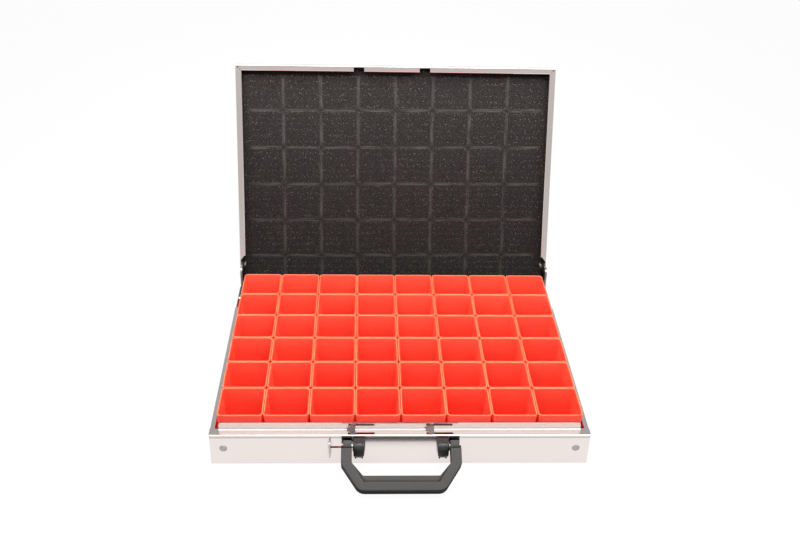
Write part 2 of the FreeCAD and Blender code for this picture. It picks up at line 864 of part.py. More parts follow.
def make_latch_hook(side_name, hook_x):
    """A flat hook that rises through the ledge, with a barb towards -X and two cam slopes."""
    under = size.rim_height + size.lid_gap + size.lid_sheet + size.hook_under_gap
    shoulder = size.rim_height + size.hook_shoulder_height
    apex = size.rim_height + size.hook_apex_height
    points = [
        (hook_x, bar_low),
        (hook_x + size.hook_neck, bar_low),
        (hook_x + size.hook_neck, shoulder),
        (hook_x + size.hook_neck * size.hook_apex_share, apex),
        (hook_x - size.hook_barb, under + size.hook_rake + size.hook_tip),
        (hook_x - size.hook_barb, under + size.hook_rake),
        (hook_x, under),
    ]
    label = "latch_hook_" + side_name
    return keep(label, plate(label, "XZ", points, hook_front, hook_back))


def make_release_tab():
    """The upright thumb plate in front of the wall, with a tenon through the slot into the bar."""
    outer = -wall_y - size.tab_wall_gap
    half = size.tenon_height / 2
    low = size.tab_level - size.tab_height / 2
    high = size.tab_level + size.tab_height / 2
    points = [
        (outer - size.tab_depth, low),
        (outer, low),
        (outer, size.tab_level - half),
        (bar_back, size.tab_level - half),
        (bar_back, size.tab_level + half),
        (outer, size.tab_level + half),
        (outer, high),
        (outer - size.tab_depth, high),
    ]
    rounds = [([0, 7], size.tab_corner)]
    ends = (tab_place, tab_place + size.tab_thick)
    return keep("release_tab", plate("release_tab", "YZ", points, *ends, rounds))


def make_latch_guide(side_name, left):
    """A bent strip on the front wall that carries the sliding bar and keeps it from the bins."""
    floor_top = bar_low - size.guide_gap
    floor_low = floor_top - size.guide_thick
    back = bar_back + size.guide_back_gap
    points = [
        (-inner_y, floor_low - size.guide_foot),
        (size.guide_thick - inner_y, floor_low - size.guide_foot),
        (size.guide_thick - inner_y, floor_low),
        (back + size.guide_thick, floor_low),
        (back + size.guide_thick, bar_top),
        (back, bar_top),
        (back, floor_top),
        (-inner_y, floor_top),
    ]
    label = "latch_guide_" + side_name
    return keep(label, plate(label, "YZ", points, left, left + size.guide_width))


def make_latch_spring():
    """A bowed flat spring between the bar's end and a bent anchor plate on the front wall."""
    anchor_x = size.bar_right + size.spring_length
    back = bar_back + size.guide_back_gap + size.guide_thick
    points = [
        (anchor_x, -inner_y),
        (anchor_x + size.anchor_foot, -inner_y),
        (anchor_x + size.anchor_foot, size.guide_thick - inner_y),
        (anchor_x + size.guide_thick, size.guide_thick - inner_y),
        (anchor_x + size.guide_thick, back),
        (anchor_x, back),
    ]
    keep("spring_anchor", plate("spring_anchor", "XY", points, bar_low, bar_top))
    near = size.bar_right + size.spring_gap
    far = anchor_x - size.spring_gap
    middle = (near + far) / 2
    end_y = (hook_back + bar_back) / 2
    points = [
        (near, end_y),
        (middle, end_y - size.spring_bow),
        (far, end_y),
        (far, end_y + size.spring_thick),
        (middle, end_y - size.spring_bow + size.spring_thick),
        (near, end_y + size.spring_thick),
    ]
    low = bar_low + size.spring_edge_gap
    keep("latch_spring", plate("latch_spring", "XY", points, low, bar_top - size.spring_edge_gap))


def make_handle_block(side_name, side):
    """A moulded block on the front wall, with a collar that faces the handle's knuckle."""
    top = lip_low - size.block_top_gap
    front = -wall_y - size.block_depth
    points = [
        (-wall_y, size.block_bottom),
        (-wall_y, top),
        (front, top),
        (front, size.block_bottom + size.block_front_rise),
        (-wall_y - size.block_chin_depth, size.block_bottom + size.block_chin_rise),
    ]
    low, high = span(side, block_inner, block_outer)
    rounds = [([2], size.block_top_round), ([3, 4], size.block_chin_round)]
    blank = plate("block_blank_" + side_name, "YZ", points, low, high, rounds)
    low, high = span(side, block_outer, block_outer + size.collar_length)
    axis = (handle_axis_y, handle_axis_z)
    collar = rod("collar_" + side_name, "X", (low, *axis), size.collar_radius, size.collar_length)
    past = size.overrun
    bore = size.handle_pin_radius + size.press_gap
    pin_start = block_outer - size.block_pin_depth
    low, high = span(side, pin_start, block_outer + size.collar_length + past)
    tools = [rod("block_bore_" + side_name, "X", (low, *axis), bore, high - low)]
    label = "handle_block_" + side_name
    keep(label, carve(label, join("block_" + side_name, [blank, collar]), tools))

    low_z = size.screw_low - size.backing_margin
    high_z = screw_levels[1] + size.backing_margin
    low, high = span(side, block_inner, block_outer)
    face = [(low, low_z), (high, low_z), (high, high_z), (low, high_z)]
    label = "handle_backing_" + side_name
    keep(label, plate(label, "XZ", face, -inner_y, size.backing_thick - inner_y))


def make_handle_fittings():
    """The screws of the handle's blocks and the pins that the handle turns on."""
    master = rivet_head("handle_screw", size.screw_head, size.screw_crown)
    spots = []
    for side in (-1, 1):
        for level in screw_levels:
            spots.append(("Y", (side * block_middle, size.backing_thick - inner_y, level)))
    group("handle_screws", master, spots)
    start = block_outer - size.block_pin_depth
    end = size.handle_half_width - size.knuckle_end - size.handle_pin_end_gap
    profile = [(0, 0), (size.handle_pin_radius, 0), (size.handle_pin_radius, end - start), (0, end - start)]
    axis = (handle_axis_y, handle_axis_z)
    group("handle_pins", stud("handle_pin", profile), [("-X", (-start, *axis)), ("X", (start, *axis))])


def make_handle():
    """The moulded bail, drawn level about its pivot line and let down until the grip lies on the table."""
    reach = size.handle_reach
    inner_reach = reach - size.handle_grip_depth
    outer_half = size.handle_half_width
    points = [
        (-outer_half, 0),
        (-outer_half, -size.handle_arm_length),
        (-size.handle_grip_half, -reach),
        (size.handle_grip_half, -reach),
        (outer_half, -size.handle_arm_length),
        (outer_half, 0),
        (handle_inner_half, 0),
        (handle_inner_half, -size.handle_inner_arm),
        (size.handle_inner_half, -inner_reach),
        (-size.handle_inner_half, -inner_reach),
        (-handle_inner_half, -size.handle_inner_arm),
        (-handle_inner_half, 0),
    ]
    rounds = [
        ([2, 3], size.handle_outer_round),
        ([1, 4], size.handle_elbow_round),
        ([7, 8, 9, 10], size.handle_inner_round),
    ]
    bow = plate("bail_blank", "XY", points, -size.handle_below, size.handle_above, rounds)
    faces = (-size.handle_below.number, size.handle_above.number)
    rims = []
    for index, edge in enumerate(bow.Tip.Shape.Edges, 1):
        ends = [vertex.Point for vertex in edge.Vertexes]
        level = any(all(abs(end.z - face) < 1e-6 for end in ends) for face in faces)
        if level and any(abs(end.y) > 1e-6 for end in ends):
            rims.append("Edge%d" % index)
    dress(bow, "Chamfer", "Size", rims, size.handle_bevel)
    past = size.overrun
    pieces = [bow]
    tools = []
    for side_name, side in SIDES:
        low, high = span(side, handle_inner_half, outer_half)
        pieces.append(rod("knuckle_" + side_name, "X", (low, 0, 0), size.knuckle_radius, high - low))
        low, high = span(side, handle_inner_half - past, outer_half - size.knuckle_end)
        bore = size.handle_pin_radius + size.running_gap
        tools.append(rod("knuckle_bore_" + side_name, "X", (low, 0, 0), bore, high - low))
    band_end = inner_reach + size.grip_band_depth
    band = [
        (-handle_inner_half, -size.handle_inner_arm),
        (-size.grip_band_half, -band_end),
        (size.grip_band_half, -band_end),
        (handle_inner_half, -size.handle_inner_arm),
    ]
    for name, low, high in (
        ("top", size.handle_above - size.grip_band_drop, size.handle_above + past),
        ("bottom", -size.handle_below - past, size.grip_band_drop - size.handle_below),
    ):
        tools.append(plate("grip_band_" + name, "XY", band, low, high))
    bail = carve("handle_bail", join("bail", pieces), tools)
    # The bevelled outer corner of the grip is what meets the table
    run = reach - size.handle_bevel
    deep = size.handle_below
    drop = handle_axis_z - size.handle_floor_gap
    droop = arc_sine(drop / root(run * run + deep * deep)) - arc_tangent(deep / run)
    bail.Placement = FreeCAD.Placement(Vector(), FreeCAD.Rotation(Vector(1, 0, 0), droop.number))
    bind(bail, "Placement.Rotation.Angle", droop)
    place(bail, 0, handle_axis_y, handle_axis_z)
    return keep("handle_bail", bail)


def slanted_edges(shape, low, high):
    """The corner edges of a tapered box that run between two levels."""
    found = []
    for index, edge in enumerate(shape.Edges, 1):
        levels = sorted(vertex.Z for vertex in edge.Vertexes)
        if abs(levels[0] - low) < 1e-6 and abs(levels[-1] - high) < 1e-6:
            found.append("Edge%d" % index)
    return found


def make_bins():
    """Tapered open bins that stand on the floor, in rows from front to back."""
    half = bin_side / 2
    foot = half - size.bin_foot_inset
    slope = size.bin_foot_inset / size.bin_height
    body = doc.addObject("PartDesign::Body", "insert_bin")
    feature = wedge(body, "AdditiveWedge", foot, half, 0, size.bin_height)
    corners = slanted_edges(feature.Shape, 0, size.bin_height.number)
    dress(body, "Chamfer", "Size", corners, size.bin_corner)
    hollow_foot = foot - size.bin_wall + slope * size.bin_floor
    hollow_top = half - size.bin_wall
    feature = wedge(body, "SubtractiveWedge", hollow_foot, hollow_top, size.bin_floor, size.bin_height)
    corners = slanted_edges(feature.Shape, size.bin_floor.number, size.bin_height.number)
    dress(body, "Chamfer", "Size", corners, size.bin_corner - size.bin_corner_inset)
    columns = int(size.bin_columns.number)
    rows = int(size.bin_rows.number)
    for row in range(rows):
        y = bins_front + (row + 0.5) * size.bin_pitch
        spots = []
        for column in range(columns):
            x = (column + 0.5 - size.bin_columns / 2) * column_pitch
            spots.append(("Z", (x, y, size.sheet)))
        group("bins_row_%d" % (row + 1), body, spots)


make_base_pan()
for side_name, side in SIDES:
    make_side_wall(side_name, side)
make_corner_rivets()
for side_name, side in SIDES:
    make_hinge_bracket(side_name, side)
make_hinge_fittings()
for side_name, side in SIDES:
    arm_place = make_hinge_arm(side_name, side)
make_arm_rivets(*arm_place)
make_lid()
make_latch_bar()
for (side_name, side), hook_x in zip(SIDES, hook_places):
    make_latch_hook(side_name, hook_x)
make_release_tab()
for side_name, left in (("left", guide_left), ("right", size.guide_right)):
    make_latch_guide(side_name, left)
make_latch_spring()
for side_name, side in SIDES:
    make_handle_block(side_name, side)
make_handle_fittings()
make_handle()
make_bins()
doc.recompute()

for item in doc.Objects:
    if "Invalid" in item.State or "Error" in item.State:
        raise RuntimeError("%s did not build: %s" % (item.Label, item.State))
for label, item in nodes.items():
    if item.Shape.isNull() or not item.Shape.isValid() or not item.Shape.Solids:
        raise RuntimeError("%s has no valid solid" % label)

os.makedirs("parts", exist_ok=True)
for label, item in nodes.items():
    item.Shape.exportStep("parts/%s.step" % label)
    print("%-24s %2d solids %10.1f mm3" % (label, len(item.Shape.Solids), item.Shape.Volume))
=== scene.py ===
import json
import math
import random

import bmesh
import bpy
from mathutils import Matrix, Vector, noise


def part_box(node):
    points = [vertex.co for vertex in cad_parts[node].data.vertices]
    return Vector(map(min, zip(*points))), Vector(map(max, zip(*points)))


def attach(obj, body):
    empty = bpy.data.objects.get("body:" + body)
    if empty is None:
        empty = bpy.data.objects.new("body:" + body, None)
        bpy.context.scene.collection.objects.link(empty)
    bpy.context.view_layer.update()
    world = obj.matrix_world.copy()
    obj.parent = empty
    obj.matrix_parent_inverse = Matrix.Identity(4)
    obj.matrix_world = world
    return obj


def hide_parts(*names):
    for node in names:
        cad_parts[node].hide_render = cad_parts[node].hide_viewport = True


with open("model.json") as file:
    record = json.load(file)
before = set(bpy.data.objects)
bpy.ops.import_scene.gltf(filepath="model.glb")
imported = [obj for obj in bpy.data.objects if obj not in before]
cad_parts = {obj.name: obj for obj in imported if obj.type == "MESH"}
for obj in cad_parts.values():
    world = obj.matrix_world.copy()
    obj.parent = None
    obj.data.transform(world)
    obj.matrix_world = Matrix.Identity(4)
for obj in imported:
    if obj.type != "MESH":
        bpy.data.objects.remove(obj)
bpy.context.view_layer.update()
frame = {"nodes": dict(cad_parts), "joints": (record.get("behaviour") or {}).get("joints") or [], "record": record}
nodes = frame["nodes"]
joints = {joint["name"]: joint for joint in frame["joints"]}
MM = 0.001

# Camera fitted to the case's corners: place in metres, its three axes and its focal length in picture widths
CAMERA_PLACE = (-0.0459176, -1.0436552, 0.7808164)
CAMERA_RIGHT = (0.9992431, -0.0305925, 0.0240293)
CAMERA_UP = (-0.0052889, 0.5051261, 0.8630293)
CAMERA_AHEAD = (0.0385400, 0.8625032, -0.5045820)
FOCAL_SHARE = 1.2372963
SENSOR_WIDTH = 36.0

# Room brightness by height above the horizon, from level to straight up, and its strength in front and behind
SKY = ((0.0, 0.56), (0.12, 0.51), (0.45, 0.56), (0.75, 0.51), (1.0, 0.56))
SKY_FRONT = 1.12
SKY_BACK = 0.84

# Floor: reach in metres, how much it lights the case, its own colour, and how much of it shows as plain white
FLOOR_HALF = 40.0
FLOOR_BOUNCE = 0.08
FLOOR_PALE = 0.9
FLOOR_GLOW_SHARE = 0.95
FLOOR_ROUGHNESS = 0.9

# Lamps: name, place, aim, width, depth in metres, watts, spread in degrees, and whether metal shows them
LAMPS = (
    ("key", (0.0, -0.12, 0.80), (0.0, 0.1, 0.12), 1.0, 0.5, 11.0, 180, True),
    ("front", (0.0, -0.95, 1.0), (0.0, 0.0, 0.1), 1.4, 0.5, 2.0, 180, True),
    ("lid", (0.0, -0.42, 0.9), (0.0, 0.29, 0.46), 1.0, 0.3, 2.8, 40, False),
    ("left", (-1.1, -0.8, 1.1), (0.0, 0.0, 0.08), 0.7, 0.9, 2.4, 180, True),
    ("right", (1.1, -0.8, 1.1), (0.0, 0.0, 0.08), 0.7, 0.9, 1.8, 180, True),
)

# Sheet metal: height of the lip's underside, how far the wall draws in under it, as relief, and over what height
LIP_LEVEL = 40.4 * MM
EASE_UNDER_LIP = 0.72 * MM
EASE_REACH = 14 * MM

# How near two faces have to be for painted shade to darken the fold between them, and the heights on the case where
# this painted shade begins
FOLD_REACH = 4 * MM
FOLD_SHADE_LOW = 10 * MM
FOLD_SHADE_HIGH = 14 * MM

# Bins
BIN_COLUMNS = 8
BIN_ROWS = 6
BIN_WALL = 1.5 * MM
BIN_FLOOR = 1.6 * MM
BIN_FOOT_INSET = 3.0 * MM
BIN_OUTER_CORNER = 4.6 * MM
BIN_INNER_CORNER = 3.4 * MM
BIN_CORNER_STEPS = 6
BIN_FOOT_ROUND = 1.4 * MM
BIN_RIM_ROUND = 0.5 * MM
BIN_FLOOR_ROUND = 3.0 * MM
# Painted highlight on the rims: depth below the top where it starts, and where it is full
BIN_RIM_HIGHLIGHT_START = 1.2 * MM
BIN_RIM_HIGHLIGHT_FULL = 0.2 * MM
BIN_SHIFT = 0.11 * MM
BIN_TURN = math.radians(0.14)
BIN_SEED = 11

# Foam: mesh step, rounded edge, and the imprint's place, size, depth, unevenness and (width, strength) by direction
FOAM_STEP = 1.3 * MM
FOAM_EDGE_ROUND = 3.0 * MM
IMPRINT_SHIFT = 3.0 * MM
IMPRINT_SIDE = 0.1 * MM
IMPRINT_SCALE = 0.987
IMPRINT_SKEW = 0.0085
IMPRINT_DEPTH = 0.35 * MM
IMPRINT_CORNER = 4.0 * MM
IMPRINT_FADE = 9.0 * MM
IMPRINT_WAVE = 0.7 * MM
IMPRINT_WAVE_SCALE = 30
IMPRINT_PATCH_SCALE = 55
IMPRINT_PATCH_MEAN = 0.8
IMPRINT_PATCH_SWING = 0.9
IMPRINT_PATCH_LEAST = 0.1
COLUMN_MARK = (0.95 * MM, 0.72)
ROW_MARK = (0.8 * MM, 0.88)
PILLOW_DEPTH = 0.15 * MM
PILLOW_WIDTH = 5.0 * MM

# Handle, drawn level from its pivot line: x to the right, y away from the case, z up
BAIL_HALF = 68.3 * MM
BAIL_ARM_WIDTH = 12.1 * MM
BAIL_ARM = 22.8 * MM
BAIL_REACH = 53.6 * MM
BAIL_GRIP_HALF = 48.1 * MM
BAIL_INNER_ARM = 20.5 * MM
BAIL_INNER_HALF = 43.5 * MM
BAIL_INNER_REACH = 35.8 * MM
BAIL_OUTER_ROUND = 12.0 * MM
BAIL_ELBOW_ROUND = 6.0 * MM
BAIL_INNER_ROUND = 3.0 * MM
BAIL_ABOVE = 7.0 * MM
BAIL_BELOW = 8.0 * MM
BAIL_EDGE = 1.2 * MM
BAIL_BEVEL = 1.4 * MM
BAIL_GROOVE_LEVEL = -1.6 * MM
BAIL_GROOVE_HALF = 0.8 * MM
BAIL_GROOVE_DEPTH = 0.9 * MM
BAIL_BAND_HALF = 42.0 * MM
BAIL_BAND_END = 42.6 * MM
BAIL_BAND_DROP = 2.4 * MM
BAIL_BAND_SLOPE = 1.0 * MM
BAIL_KNUCKLE = 6.6 * MM
BAIL_KNUCKLE_CUT = 4.4 * MM
BAIL_KNUCKLE_SHELF = 2.6 * MM
BAIL_KNUCKLE_END = 2.0 * MM
BAIL_KNUCKLE_EDGE = 0.8 * MM
BAIL_SOFT = 0.3 * MM

# Shared by the moulded pieces: steps of an arc, of a full turn and of a rounded edge, and the overshoot of a cut
ARC_STEPS = 7
ROUND_STEPS = 40
EDGE_TURNS = (0.0, 0.5, 1.0, math.pi / 2)
CUT_PAST = 2 * MM
WELD_REACH = 0.002 * MM
SHARP_ANGLE = math.radians(35)

# Handle blocks: sides, profile as distance from the wall and height, its corner radii, and how the inner side draws in
BLOCK_INNER = 40.9 * MM
BLOCK_OUTER = 54.4 * MM
BLOCK_DEPTH = 16.3 * MM
BLOCK_LOW = 16.5 * MM
BLOCK_HIGH = 40.0 * MM
BLOCK_CHIN = 11.0 * MM
BLOCK_CHIN_RISE = 2 * MM
BLOCK_CHIN_ROUND = 3 * MM
BLOCK_FRONT_RISE = 8 * MM
BLOCK_FRONT_ROUND = 4 * MM
BLOCK_TOP_ROUND = 6.5 * MM
BLOCK_TAPER = 2.0 * MM
BLOCK_TAPER_SHARE = 0.6
BLOCK_EDGE = 1.6 * MM
BLOCK_SOFT = 0.2 * MM
BLOCK_PANEL_MARGIN = 3.0 * MM
BLOCK_PANEL_RISE = 0.5 * MM
BLOCK_PANEL_SLOPE = 0.5 * MM
COLLAR_RADIUS = 5.6 * MM
COLLAR_LENGTH = 0.8 * MM
COLLAR_EDGE = 0.2 * MM
FOOT_RADIUS = 1.8 * MM
FOOT_EDGE = 0.4 * MM
FOOT_HALF = 0.8 * MM
FOOT_FROM_INNER = 3.4 * MM
FOOT_FROM_OUTER = 2.4 * MM
FOOT_BACK = 1.0 * MM
FOOT_RISE = 2.2 * MM
WALL_Y = -164.2 * MM


class Look:
    """A material and its nodes. Every texture is laid out in metres on the object."""

    def __init__(self, name, metallic=0.0):
        self.material = bpy.data.materials.new(name)
        self.material.use_nodes = True
        self.nodes = self.material.node_tree.nodes
        self.links = self.material.node_tree.links
        self.shader = self.nodes["Principled BSDF"]
        self.set("Metallic", metallic)
        self.space = self.nodes.new("ShaderNodeTexCoord").outputs["Object"]

    def set(self, socket, value):
        """Gives the shader's socket a constant or another node's result."""
        if isinstance(value, bpy.types.NodeSocket):
            self.links.new(value, self.shader.inputs[socket])
        else:
            self.shader.inputs[socket].default_value = value

    def node(self, kind, links=None, **values):
        """Adds a node with constants by socket name and links by socket name."""
        made = self.nodes.new(kind)
        for socket, value in values.items():
            made.inputs[socket.replace("_", " ")].default_value = value
        for socket, value in (links or {}).items():
            self.links.new(value, made.inputs[socket])
        return made

    def stretched(self, along, across, up):
        return self.node("ShaderNodeMapping", {"Vector": self.space}, Scale=(along, across, up)).outputs["Vector"]

    def noise(self, scale, detail=2.0, space=None):
        made = self.node("ShaderNodeTexNoise", {"Vector": space or self.space}, Scale=scale, Detail=detail)
        return made.outputs["Fac"]

    def times(self, first, second):
        made = self.nodes.new("ShaderNodeMath")
        made.operation = "MULTIPLY"
        self.links.new(first, made.inputs[0])
        self.links.new(second, made.inputs[1])
        return made.outputs[0]

    def between(self, value, low, high, start, end):
        """Maps value from low..high to start..end, held at the ends."""
        made = self.node("ShaderNodeMapRange", {"Value": value}, From_Min=low, From_Max=high, To_Min=start, To_Max=end)
        return made.outputs["Result"]

    def ramp(self, value, *stops):
        made = self.nodes.new("ShaderNodeValToRGB")
        self.links.new(value, made.inputs["Fac"])
        elements = made.color_ramp.elements
        while len(elements) < len(stops):
            elements.new(1.0)
        for element, (position, colour) in zip(elements, stops):
            element.position = position
            element.color = (*colour, 1.0)
        return made.outputs["Color"]

    def mix(self, share, first, second):
        made = self.nodes.new("ShaderNodeMix")
        made.data_type = "RGBA"
        for socket, value in zip((made.inputs[0], made.inputs[6], made.inputs[7]), (share, first, second)):
            if isinstance(value, bpy.types.NodeSocket):
                self.links.new(value, socket)
            else:
                socket.default_value = value if socket is made.inputs[0] else (*value, 1.0)
        return made.outputs[2]

    def height(self):
        return self.node("ShaderNodeSeparateXYZ", {"Vector": self.space}).outputs["Z"]

    def attribute(self, name):
        made = self.nodes.new("ShaderNodeAttribute")
        made.attribute_name = name
        return made.outputs["Fac"]

    def bump(self, height, distance, strength=1.0):
        """Adds relief on top of any relief set before."""
        made = self.node("ShaderNodeBump", {"Height": height}, Strength=strength, Distance=distance)
        for earlier in self.shader.inputs["Normal"].links:
            self.links.new(earlier.from_socket, made.inputs["Normal"])
        self.set("Normal", made.outputs["Normal"])


def aluminium(name, lip=None):
    """Folded sheet: even, fairly bright, with painted shade in its folds and a painted shadow line under the lip."""
    look = Look(name, metallic=1.0)
    cloud = look.noise(11.0, 2.0)
    sheet = look.ramp(cloud, (0.3, (0.818, 0.738, 0.710)), (0.7, (0.838, 0.760, 0.732)))
    # Painted shade: ambient occlusion darkens the colour towards dark brown where faces fold close together
    folds = look.node("ShaderNodeAmbientOcclusion", Distance=FOLD_REACH)
    painted_fold_shade = look.between(folds.outputs["AO"], 0.25, 0.85, 0.7, 0.0)
    if lip:
        height = look.height()
        painted_fold_shade = look.times(painted_fold_shade, look.between(height, FOLD_SHADE_LOW, FOLD_SHADE_HIGH, 0.0, 1.0))
    colour = look.mix(painted_fold_shade, sheet, (0.26, 0.20, 0.18))
    if lip:
        # Painted shadow line: a dark band just under the lip, put in the colour instead of coming from light
        below = look.between(height, lip - 2.8 * MM, lip - 0.8 * MM, 0.0, 0.75)
        above = look.between(height, lip - 0.1 * MM, lip + 0.3 * MM, 1.0, 0.0)
        colour = look.mix(look.times(below, above), colour, (0.34, 0.30, 0.29))
    look.set("Base Color", colour)
    grain = look.noise(1.0, 2.0, look.stretched(25.0, 1500.0, 1500.0))
    look.set("Roughness", look.between(grain, 0.3, 0.7, 0.13, 0.16))
    look.bump(grain, 0.00002, 0.008)
    if lip:
        look.bump(look.between(height, lip - EASE_REACH, lip, 1.0, 0.0), EASE_UNDER_LIP)
    return look.material


def bin_plastic():
    look = Look("bin_plastic")
    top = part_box("bins_row_1")[1][2]
    # Painted highlight: the top of each rim is coloured paler orange, where light catches the rounded rim
    rim = look.between(look.height(), top - BIN_RIM_HIGHLIGHT_START, top - BIN_RIM_HIGHLIGHT_FULL, 0.0, 1.0)
    tone = look.attribute("tone")
    body = look.ramp(tone, (0.0, (0.974, 0.074, 0.041)), (1.0, (0.980, 0.085, 0.047)))
    look.set("Base Color", look.mix(rim, body, (1.0, 0.19, 0.088)))
    haze = look.noise(900.0, 3.0)
    look.set("Roughness", look.between(haze, 0.3, 0.7, 0.34, 0.44))
    look.set("Specular IOR Level", 0.4)
    look.set("Subsurface Weight", 0.65)
    look.set("Subsurface Radius", (1.0, 0.14, 0.07))
    look.set("Subsurface Scale", 0.010)
    look.bump(haze, 0.00002, 0.4)
    return look.material


def moulded(name, dark, light, rough, gloss):
    """Black moulded plastic with a fine spark-eroded grain, and painted shade in its folds and recesses."""
    look = Look(name)
    grain = look.noise(1500.0, 3.0)
    # Painted shade: ambient occlusion darkens the colour nearly to black in folds and recesses
    folds = look.node("ShaderNodeAmbientOcclusion", Distance=FOLD_REACH)
    painted_recess_shade = look.between(folds.outputs["AO"], 0.55, 0.98, 0.9, 0.0)
    look.set("Base Color", look.mix(painted_recess_shade, look.ramp(grain, (0.3, dark), (0.75, light)), (0.006, 0.006, 0.006)))
    look.set("Roughness", look.between(grain, 0.3, 0.7, rough, rough + 0.16))
    look.set("Specular IOR Level", gloss)
    look.bump(grain, 0.00008, 0.6)
    return look.material


def foam():
    look = Look("foam")
    fine = look.noise(800.0, 3.0)
    body = look.ramp(fine, (0.35, (0.0056, 0.0047, 0.0043)), (0.7, (0.0245, 0.0212, 0.0198)))
    flecks = look.node("ShaderNodeTexVoronoi", {"Vector": look.space}, Scale=430.0)
    near = look.between(flecks.outputs["Distance"], 0.10, 0.34, 1.0, 0.0)
    chosen = look.between(flecks.outputs["Color"], 0.38, 0.88, 0.0, 0.9)
    speckled = look.mix(look.times(near, chosen), body, (0.12, 0.112, 0.107))
    look.set("Base Color", look.mix(look.attribute("pressed"), speckled, (0.051, 0.046, 0.043)))
    look.set("Roughness", 0.95)
    look.set("Specular IOR Level", 0.15)
    look.bump(fine, 0.0006, 0.7)
    return look.material


def steel(name, dark, light, rough, metallic=1.0):
    """Bare, plated or blackened steel: clouded colour, fine rolled grain."""
    look = Look(name, metallic)
    cloud = look.noise(90.0, 4.0)
    look.set("Base Color", look.ramp(cloud, (0.3, dark), (0.7, light)))
    grain = look.noise(1.0, 2.0, look.stretched(900.0, 300.0, 2200.0))
    look.set("Roughness", look.between(grain, 0.3, 0.7, rough, rough + 0.14))
    look.bump(grain, 0.00002, 0.4)
    return look.material


def nylon():
    look = Look("nylon")
    haze = look.noise(1200.0, 2.0)
    look.set("Base Color", look.ramp(haze, (0.3, (0.70, 0.69, 0.65)), (0.7, (0.78, 0.77, 0.73))))
    look.set("Roughness", look.between(haze, 0.3, 0.7, 0.4, 0.5))
    look.bump(haze, 0.00002, 0.4)
    return look.material


LOOKS = {
    "case_aluminium": aluminium("case_aluminium", lip=LIP_LEVEL),
    "lid_aluminium": aluminium("lid_aluminium"),
    "rivet_aluminium": steel("rivet_aluminium", (0.44, 0.42, 0.415), (0.50, 0.48, 0.475), 0.55),
    "zinc_steel": steel("zinc_steel", (0.56, 0.56, 0.55), (0.68, 0.67, 0.66), 0.14),
    "dark_steel": steel("dark_steel", (0.22, 0.205, 0.20), (0.32, 0.30, 0.295), 0.24),
    "hook_steel": steel("hook_steel", (0.42, 0.39, 0.385), (0.54, 0.51, 0.50), 0.28),
    "spring_steel": steel("spring_steel", (0.34, 0.33, 0.33), (0.44, 0.43, 0.43), 0.22),
    "nylon": nylon(),
    "black_plastic": moulded("black_plastic", (0.064, 0.061, 0.060), (0.090, 0.086, 0.085), 0.5, 0.008),
    # The blocks' plastic is glossier and much darker than the handle's: partly its own finish, partly painted shade
    # under the lip
    "block_plastic_and_painted_shade": moulded("block_plastic_and_painted_shade", (0.018, 0.017, 0.017), (0.030, 0.029, 0.029), 0.3, 0.4),
    "bin_plastic": bin_plastic(),
    "foam": foam(),
}


def finish_piece(name, mesh, body, slot, *replaced, look=None):
    """Puts a mesh in the scene as a piece that rides on a body and stands for CAD nodes."""
    piece = bpy.data.objects.new(name, mesh)
    bpy.context.scene.collection.objects.link(piece)
    mesh.materials.append(LOOKS[look or slot])
    mesh.shade_smooth()
    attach(piece, body)
    if replaced:
        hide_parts(*replaced)
    return piece


def ring(half, radius, height):
    """Points round a square with rounded corners."""
    points = []
    for quarter, (right, back) in enumerate(((1, 1), (-1, 1), (-1, -1), (1, -1))):
        for step in range(BIN_CORNER_STEPS + 1):
            turn = (quarter + step / BIN_CORNER_STEPS) * math.pi / 2
            points.append(Vector((
                right * (half - radius) + radius * math.cos(turn),
                back * (half - radius) + radius * math.sin(turn),
                height,
            )))
    return points


def bin_rings(half_rim, height):
    """Rings from the foot up the outside, over the rim and down to the inner floor."""
    lean = BIN_FOOT_INSET / height

    def outer(level):
        return half_rim - BIN_FOOT_INSET + lean * level

    def inner(level):
        return outer(level) - BIN_WALL

    rings = []
    for share in (0.0, 0.35, 0.7, 1.0):
        turn = share * math.pi / 2
        level = BIN_FOOT_ROUND * (1 - math.cos(turn))
        rings.append(ring(outer(level) - BIN_FOOT_ROUND * (1 - math.sin(turn)), BIN_OUTER_CORNER, level))
    rings.append(ring(outer(height / 2), BIN_OUTER_CORNER, height / 2))
    for share in (0.0, 0.5, 1.0):
        turn = share * math.pi / 2
        level = height - BIN_RIM_ROUND * (1 - math.sin(turn))
        rings.append(ring(outer(level) - BIN_RIM_ROUND * (1 - math.cos(turn)), BIN_OUTER_CORNER, level))
    for share in (1.0, 0.5, 0.0):
        turn = share * math.pi / 2
        level = height - BIN_RIM_ROUND * (1 - math.sin(turn))
        rings.append(ring(inner(level) + BIN_RIM_ROUND * (1 - math.cos(turn)), BIN_INNER_CORNER, level))
    rings.append(ring(inner(height / 2), BIN_INNER_CORNER, height / 2))
    for share in (1.0, 0.7, 0.35, 0.0):
        turn = share * math.pi / 2
        level = BIN_FLOOR + BIN_FLOOR_ROUND * (1 - math.cos(turn))
        rings.append(ring(inner(level) - BIN_FLOOR_ROUND * (1 - math.sin(turn)), BIN_INNER_CORNER, level))
    return rings


def skin(mesh, rings, place):
    """Adds a closed skin over loops of points, capped at both ends, and returns its faces."""
    loops = [[mesh.verts.new(place @ point) for point in points] for points in rings]
    faces = []
    for lower, upper in zip(loops, loops[1:]):
        count = len(lower)
        for index in range(count):
            after = (index + 1) % count
            faces.append(mesh.faces.new((lower[index], lower[after], upper[after], upper[index])))
    faces.append(mesh.faces.new(reversed(loops[0])))
    faces.append(mesh.faces.new(loops[-1]))
    return faces


